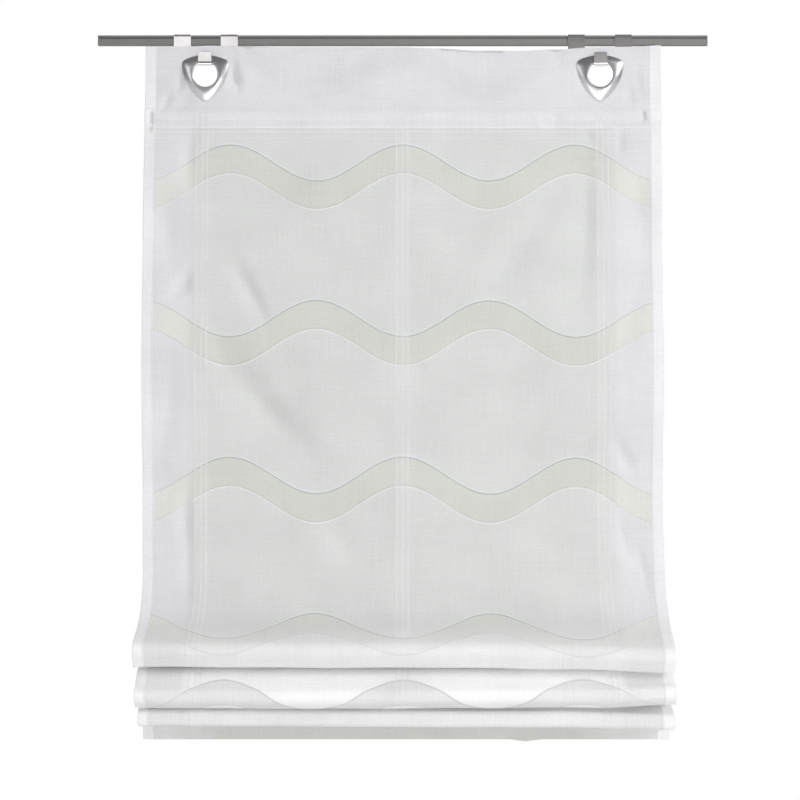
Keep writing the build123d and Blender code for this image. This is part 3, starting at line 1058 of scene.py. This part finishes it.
# Single stitches: pitch, length, rise of the middle, lift and half section
STITCH_PITCH = 4.0
STITCH_LENGTH = 2.9
STITCH_ARCH = 0.18
STITCH_LIFT = 0.05
STITCH_SECTION = (0.55, 0.35)
STITCH_SIDES = 5
# Rows of stitches: first drop on the tapes, inset at the side edges, distances from the pocket's edges
TAPE_STITCH_TOP = 98.0
TAPE_STITCH_STEP = 2.0
CROSS_INSET = 3
CROSS_STEP = 4.0
POCKET_TOP_INSET = 0.5
POCKET_FOOT_INSET = 0.8
# Rows of the bottom hem and the side hems: FOOT_ROW and SIDE_ROW_END count from the path's end
FOOT_ROW = 30.0
SIDE_ROW_TOP = 131.0
SIDE_ROW_END = 34.0
SIDE_ROW_STEP = 3.0
SIDE_ROW_INSET = 1.5


def band_edge_threads():
    """Thin threads along both edges of each band."""
    parts = []
    x = np.arange(-HALF_WIDTH + SIDE_HEM + THREAD_INSET, HALF_WIDTH - SIDE_HEM, THREAD_STEP)
    reach = BAND_WIDTH / 2 + THREAD_OFFSET
    for band in range(BAND_COUNT):
        crest = WAVE_HEIGHT * (-1) ** band * np.cos(2 * math.pi * x / WAVE_LENGTH)
        for edge in (-reach, reach):
            wanted = FIRST_BAND + band * BAND_SPACING - crest + edge
            drop = np.interp(wanted, pattern_drop(surface.drop), surface.drop)
            points, normals = surface.at(x, drop, THICKNESS / 2 + THREAD_LIFT)
            parts.append(tube(points, normals, *THREAD_SECTION))
    return make_piece("band_edge_threads", *joined(parts), BAND_THREAD, "cloth")


def stitch_row(x, drop):
    """Single stitches along a line on the cloth, given as arrays of places across and drops."""
    line, normal = surface.at(x, drop, THICKNESS / 2 + STITCH_LIFT)
    run = lengths_along(line)
    parts = []
    for start in np.arange(0, run[-1] - STITCH_LENGTH, STITCH_PITCH):
        places = start + STITCH_LENGTH * np.array([0.0, 0.5, 1.0])
        points = np.stack([np.interp(places, run, line[:, k]) for k in range(3)], axis=1)
        normals = unit(np.stack([np.interp(places, run, normal[:, k]) for k in range(3)], axis=1))
        points[1] += normals[1] * STITCH_ARCH
        parts.append(tube(points, normals, *STITCH_SECTION, sides=STITCH_SIDES))
    return parts


def tape_stitches():
    """Rows of stitches that hold the tapes."""
    parts = []
    drop = np.arange(TAPE_STITCH_TOP, surface.drop[-1] - TAPE_END, TAPE_STITCH_STEP)
    for place in TAPE_PLACES.values():
        for aside in TAPE_SEAMS:
            parts += stitch_row(place + aside + 0 * drop, drop)
    return make_piece("tape_stitches", *joined(parts), THREAD, "tape")


def hem_stitches():
    """Rows of stitches along the pocket, the bottom hem and the side hems."""
    parts = []
    across = np.arange(-HALF_WIDTH + CROSS_INSET, HALF_WIDTH - CROSS_INSET, CROSS_STEP)
    pocket_rows = (POCKET_DROP + POCKET_TOP_INSET, POCKET_DROP + POCKET_HEIGHT + POCKET_FOOT_INSET)
    foot_row = surface.drop[-1] - FOOT_ROW - HEM_HEIGHT
    for drop in (*pocket_rows, foot_row):
        parts += stitch_row(across, drop + 0 * across)
    drop = np.arange(SIDE_ROW_TOP, surface.drop[-1] - SIDE_ROW_END, SIDE_ROW_STEP)
    for side in (-1, 1):
        parts += stitch_row(side * (HALF_WIDTH - SIDE_HEM + SIDE_ROW_INSET) + 0 * drop, drop)
    return make_piece("hem_stitches", *joined(parts), BAND_THREAD, "cloth")


threads = [band_edge_threads(), tape_stitches(), hem_stitches()]


# Tapes and their loops behind the cloth


def tape_piece(side, place):
    """A flat strip behind the cloth that follows its folds."""
    _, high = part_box(side + "_tape")
    first = CLOTH_TOP - high.z / MM
    last = surface.drop[-1] - TAPE_END
    drop = surface.drop[(surface.drop > first) & (surface.drop < last)]
    across = np.linspace(-TAPE_WIDTH / 2, TAPE_WIDTH / 2, TAPE_COLUMNS)
    near = -(THICKNESS / 2 + TAPE_GAP)
    grids = []
    for out in (near, near - TAPE_THICKNESS):
        points, _ = surface.at(place + across[None, :], drop[:, None], out)
        grids.append(points)
    points, faces, used = sheet_mesh(*grids, np.full((len(drop) - 1, len(across) - 1), True))
    piece = make_piece(side + "_tape_strip", points, faces, TAPE, "tape")
    add_places(piece, used, place + across, drop[:, None], across)
    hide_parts(side + "_tape")
    return piece


tapes = [tape_piece(side, place) for side, place in TAPE_PLACES.items()]


# Eyelets


def eyelet_reach(angle):
    """Distance from the middle of an eyelet to its rounded three-cornered outline."""
    corner = EYELET_ARC / math.sqrt(3)
    centre = (math.sqrt(4 * (EYELET_ARC - EYELET_CORNER) ** 2 - 3 * corner**2) - corner) / 2
    reach = np.full(angle.shape, np.inf)
    for k in range(3):
        away = angle - math.radians(30 + 120 * k)
        towards = corner * np.cos(away)
        reach = np.minimum(reach, towards + np.sqrt(EYELET_ARC**2 - corner**2 + towards**2))
    tangent = math.atan2(corner * math.sqrt(3) / 2, centre + corner / 2)
    tip_x = centre + EYELET_CORNER * math.cos(tangent)
    tip_y = EYELET_CORNER * math.sin(tangent)
    limit = math.atan2(tip_y, tip_x)
    for k in range(3):
        away = angle - math.radians(30 + 120 * k)
        away = (away + math.pi) % (2 * math.pi) - math.pi
        near = np.abs(away) < limit
        sideways = np.clip(EYELET_CORNER**2 - (centre * np.sin(away)) ** 2, 0, None)
        reach = np.where(near, centre * np.cos(away) + np.sqrt(sideways), reach)
    return reach


# Points round an eyelet, and steps of its rim, dome and lip, with turns in degrees
EYELET_SIDES = 144
RIM_STEPS = 4
RIM_TURN = 20
DOME_STEPS = 14
LIP_STEPS = 6
LIP_TURN = 18


def eyelet_front(side, x):
    """Domed ring with a rounded rim and lip, and a collar through the cloth."""
    angle = np.linspace(0, 2 * math.pi, EYELET_SIDES, endpoint=False)
    reach = eyelet_reach(angle)
    low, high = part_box(side + "_eyelet_front")
    face_y = low.y / MM + EYELET_HEIGHT
    collar = high.y / MM - face_y

    def ring(radius, height):
        across = x + radius * np.cos(angle)
        up = EYELET_Z + radius * np.sin(angle)
        return np.stack([across, np.full_like(angle, face_y - height), up], axis=-1)

    rim = EYELET_EDGE_SHARE * EYELET_EDGE
    rings = [ring(reach, 0.0), ring(reach, rim)]
    for step in range(1, RIM_STEPS + 1):
        turn = math.radians(RIM_TURN * step)
        rim_top = rim + RIM_ROUND * math.sin(turn)
        rings.append(ring(reach - RIM_ROUND * (1 - math.cos(turn)), rim_top))
    for step in range(1, DOME_STEPS):
        share = step / DOME_STEPS
        radius = (reach - RIM_ROUND) * (1 - share) + (EYELET_HOLE + LIP_ROUND) * share
        rise = math.sin(share * math.pi / 2) ** DOME_POWER
        rings.append(ring(radius, rim_top + (EYELET_HEIGHT - rim_top) * rise))
    for step in range(LIP_STEPS):
        turn = math.radians(LIP_TURN * step)
        radius = EYELET_HOLE + LIP_ROUND * (1 - math.sin(turn))
        rings.append(ring(radius, EYELET_HEIGHT - LIP_ROUND * (1 - math.cos(turn))))
    collar_radius = EYELET_HOLE + COLLAR_WALL
    rings += [ring(EYELET_HOLE, -collar), ring(collar_radius, -collar), ring(collar_radius, 0.0)]
    quads = grid_faces(len(rings), len(angle), closed_rows=True, closed_columns=True)
    faces = [quad[::-1] for quad in quads]
    piece = make_piece(side + "_eyelet_dome", np.concatenate(rings), faces, EYELET_METAL, "eyelet")
    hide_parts(side + "_eyelet_front")


# Solids whose edges are eased: distance at which points merge, and angles in degrees
MERGE_DISTANCE = 0.01
FLAT_ANGLE = 1
EASE_ANGLE = 25
EASE_SEGMENTS = 2
SHARP_ANGLE = 40


def eased(node, name, material, width):
    """A copy of a solid with its sharp edges slightly rounded, in place of that solid."""
    mesh = frame["nodes"][node].data.copy()
    mesh.name = name
    form = bmesh.new()
    form.from_mesh(mesh)
    bmesh.ops.remove_doubles(form, verts=form.verts, dist=MERGE_DISTANCE * MM)
    flat = math.radians(FLAT_ANGLE)
    bmesh.ops.dissolve_limit(form, angle_limit=flat, verts=form.verts, edges=form.edges)
    inner = [edge for edge in form.edges if len(edge.link_faces) == 2]
    sharp = [edge for edge in inner if edge.calc_face_angle() > math.radians(EASE_ANGLE)]
    bmesh.ops.bevel(
        form,
        geom=sharp,
        offset=width * MM,
        segments=EASE_SEGMENTS,
        profile=0.5,
        affect="EDGES",
        clamp_overlap=True,
    )
    form.to_mesh(mesh)
    form.free()
    piece = new_piece(name, mesh, material)
    mesh.set_sharp_from_angle(angle=math.radians(SHARP_ANGLE))
    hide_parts(node)


# Runs and bends of a hook's path are cut into this many pieces
HOOK_RUN_STEPS = (6, 3, 6, 3, 4, 2, 2, 3, 5, 2)
HOOK_BEND_STEPS = (6, 6, 0, 0, 0, 0, 6, 6, 0)


def hook_path(side):
    """Points along the middle of a hook's bent sheet, and the row at which each run starts."""
    low, high = (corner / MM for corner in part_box(side + "_hook"))
    half = HOOK_SHEET / 2
    rear, top, foot, lip = high.y - half, high.z - half, low.z + half, low.y + half
    corners = [
        (rear, top - HOOK_REAR_LEG, 0),
        (rear, top, HOOK_BEND),
        (-rear, top, HOOK_BEND),
        (-rear, WEB_TOP + ARM_NOTCH, 0),
        (-rear, WEB_TOP, 0),
        (-rear, WEB_FOOT, 0),
        (-rear, WEB_FOOT - TONGUE_ROOT, 0),
        (-rear, foot, HOOK_BEND),
        (lip, foot, HOOK_BEND),
        (lip, foot + HOOK_BEND + LIP_SIDE, 0),
        (lip, foot + HOOK_BEND + LIP_TOP, 0),
    ]
    corners = [(np.array([y]), np.array([z]), radius) for y, z, radius in corners]
    path, starts = sample_path(corners, HOOK_RUN_STEPS, HOOK_BEND_STEPS)
    return path[:, 0], starts


def hook_outline(count, starts):
    """Places across for each row of a hook's grid, and the cells between them that are sheet."""
    notch, root = ARM_INNER - ARM_NOTCH, TONGUE + TONGUE_ROOT
    arm = (ARM_INNER, ARM_INNER + ARM_SUPPORT, ARM_OUTER - ARM_SUPPORT, ARM_OUTER)
    edges = np.array([TONGUE, root, notch, *arm])
    x = np.concatenate([-edges[::-1], [-TONGUE / 2, 0, TONGUE / 2], edges])
    across = np.broadcast_to(x, (count, len(x))).copy()
    sign, size = np.sign(across), np.abs(across)
    row = np.arange(count)[:, None]

    def at(place):
        return np.abs(size - place) < SAME_PLACE

    across = np.where(at(notch) & (row <= starts[3]), sign * ARM_INNER, across)
    across = np.where(at(root) & (row >= starts[6]), sign * TONGUE, across)
    taper = 1 - LIP_TAPER * smooth(starts[8], starts[10], row)
    across = np.where((size <= TONGUE) & (row >= starts[8]), across * taper, across)
    across = np.where(at(TONGUE) & (row == starts[10]), sign * (TONGUE - LIP_CORNER), across)

    middle = np.abs(0.5 * (x[1:] + x[:-1]))[None, :]
    cell = row[:-1]
    kept = np.where(cell < starts[4], middle > ARM_INNER, True)
    kept = np.where((cell >= starts[3]) & (cell < starts[4]), middle > notch, kept)
    kept = np.where(cell >= starts[5], middle < TONGUE, kept)
    kept = np.where((cell >= starts[5]) & (cell < starts[6]), middle < root, kept)
    return across, kept


def hook_piece(side, place):
    """A bent sheet: two arms over the rail, a web, and a tongue through the eyelet with a lip."""
    path, starts = hook_path(side)
    along = unit(np.gradient(path, axis=0))
    normal = np.stack([np.zeros(len(path)), along[:, 1], -along[:, 0]], axis=-1)
    across, kept = hook_outline(len(path), starts)
    depth, height = (np.broadcast_to(path[:, k, None], across.shape) for k in (0, 1))
    sheet = np.stack([place + across, depth, height], axis=-1)
    offset = normal[:, None] * (HOOK_SHEET / 2)
    points, faces, _ = sheet_mesh(sheet - offset, sheet + offset, kept)
    piece = make_piece(side + "_hook_plate", points, faces, HOOK_METAL, "hook")
    form = bmesh.new()
    form.from_mesh(piece.data)
    bmesh.ops.remove_doubles(form, verts=form.verts, dist=MERGE_DISTANCE * MM)
    bmesh.ops.recalc_face_normals(form, faces=form.faces)
    form.to_mesh(piece.data)
    form.free()
    piece.data.set_sharp_from_angle(angle=math.radians(SHARP_ANGLE))
    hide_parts(side + "_hook")


for side, place in EYELET_PLACES.items():
    eyelet_front(side, place)
for side, place in EYELET_PLACES.items():
    hook_piece(side, place)
    eased(side + "_eyelet_back", side + "_eyelet_counter_ring", EYELET_BACK, width=0.3)
eased("curtain_rail", "rail_profile", RAIL_PAINT, width=0.2)
eased("hem_bar", "hem_weight_bar", BAR_METAL, width=0.2)
for side in TAPE_PLACES:
    eased(side + "_tape_loops", side + "_tape_woven_loops", THREAD, width=0.12)

# Floor, light and camera

# The floor, in metres: its height, size and cells
FLOOR_Z = -1.45
FLOOR_SIZE = 24
FLOOR_CELLS = 8
# Under the object the floor is this much less white, so that it keeps the shadow
FLOOR_SHADOW = 0.25
FLOOR_SHADOW_REACH = (0.3, 0.9)
# Light of the room: on cloth, and mirrored in metal from the front and from behind the object
ROOM_LEVEL = 0.30
FRONT_LEVEL = 0.22
BACK_LEVEL = 1.0
BACK_START = (-0.15, 0.25)


def floor():
    """Pale floor, white away from the object and with its shadow under it."""
    bpy.ops.mesh.primitive_grid_add(
        x_subdivisions=FLOOR_CELLS, y_subdivisions=FLOOR_CELLS, size=FLOOR_SIZE, location=(0, 0, FLOOR_Z)
    )
    piece = bpy.context.object
    piece.name = "studio_floor"
    shader = Shader("pale_floor", Roughness=0.9)
    mottle = shader.noise(shader.object_place(), scale=3.0)
    colour = shader.mix(mottle, (0.88, 0.88, 0.88), (0.90, 0.90, 0.90))
    shader.feed(Base_Color=colour)
    seen = shader.add("LightPath").outputs
    away = shader.add("VectorMath", shader.object_place())
    away.operation = "LENGTH"
    clear = shader.step(away.outputs["Value"], *FLOOR_SHADOW_REACH)
    share = shader.maths("ADD", 1 - FLOOR_SHADOW, shader.maths("MULTIPLY", clear, FLOOR_SHADOW))
    white = shader.maths("MAXIMUM", seen["Is Camera Ray"], seen["Is Glossy Ray"])
    white = shader.maths("MULTIPLY", white, share)
    glow = shader.add("Emission").outputs[0]
    lit = shader.add("MixShader", white, shader.surface.outputs[0], glow).outputs[0]
    shader.links.new(lit, shader.nodes["Material Output"].inputs["Surface"])
    piece.data.materials.append(shader.material)


def world():
    """White behind the object, a dimmer room in front of it, and a plain level for diffuse light."""
    scene_world = bpy.data.worlds.new("studio")
    bpy.context.scene.world = scene_world
    scene_world.use_nodes = True
    room = Nodes(scene_world.node_tree)
    seen = room.add("LightPath").outputs
    way = room.split(room.add("TexCoord").outputs["Generated"])
    behind = room.step(way["Y"], *BACK_START)
    mirrored = room.maths("MAXIMUM", seen["Is Glossy Ray"], seen["Is Transmission Ray"])
    strength = room.level(mirrored, ROOM_LEVEL, room.level(behind, FRONT_LEVEL, BACK_LEVEL))
    strength = room.level(seen["Is Camera Ray"], strength, 1.0)
    room.put_named(room.nodes["Background"], {"Strength": strength, "Color": (1, 1, 1)})


# Lamps, in metres and watts: name, place, aim, size, power, colour, and whether metal mirrors it
LAMPS = (
    ("key_softbox", (3.3, -3.1, 1.6), (0, 0, -0.6), (1.8, 1.8), 66, (1, 1, 1), True),
    ("front_fill", (1.1, -3.2, -0.5), (0, 0, -0.8), (1.0, 0.5), 15, (1, 1, 1), True),
    ("low_fill", (0.1, -2.6, -0.98), (0, 0, -0.8), (2.0, 0.45), 13, (1.0, 0.98, 0.95), True),
    ("left_fill", (-2.2, -3.2, 0.6), (0, 0, -0.6), (1.0, 1.0), 9, (1, 1, 1), True),
    ("top_softbox", (0.2, -1.1, 1.8), (0, -0.05, -0.9), (2.0, 0.7), 10.5, (1, 1, 1), False),
    ("hook_card", (-0.72, -2.5, 0.68), (-0.306, 0, 0), (0.5, 0.35), 0.62, (1, 1, 1), True),
    ("lip_card", (0.66, -2.5, 0.50), (0.306, 0, -0.05), (0.4, 0.1), 0.1, (1, 1, 1), True),
    ("back_fill", (-0.9, 3.2, 0.3), (0, 0, -0.6), (2.0, 1.4), 34, (1, 1, 1), True),
)


def area_light(name, place, aim, size, power, colour, mirrored):
    data = bpy.data.lights.new(name, "AREA")
    data.shape = "RECTANGLE"
    data.size, data.size_y = size
    data.energy = power
    data.color = colour
    lamp = bpy.data.objects.new(name, data)
    lamp.location = place
    lamp.rotation_euler = (Vector(aim) - Vector(place)).to_track_quat("-Z", "Y").to_euler()
    lamp.visible_camera = False
    lamp.visible_glossy = mirrored
    bpy.context.scene.collection.objects.link(lamp)


# The camera, in metres, with the focal length that the photo's perspective shows, in pixels
CAMERA_PLACE = (-0.0042, -2.2106, -0.5605)
FOCAL_PIXELS = 1416.5
IMAGE_PIXELS = 800
SENSOR = 36.0


def camera():
    """Level camera in front of the blind."""
    data = bpy.data.cameras.new("camera")
    data.sensor_width = SENSOR
    data.sensor_fit = "HORIZONTAL"
    data.lens = FOCAL_PIXELS * SENSOR / IMAGE_PIXELS
    view = bpy.data.objects.new("camera", data)
    view.location = CAMERA_PLACE
    view.rotation_euler = (math.radians(90), 0, 0)
    bpy.context.scene.collection.objects.link(view)
    bpy.context.scene.camera = view


floor()
world()
for lamp in LAMPS:
    area_light(*lamp)
camera()
bpy.context.scene.view_settings.view_transform = "Standard"
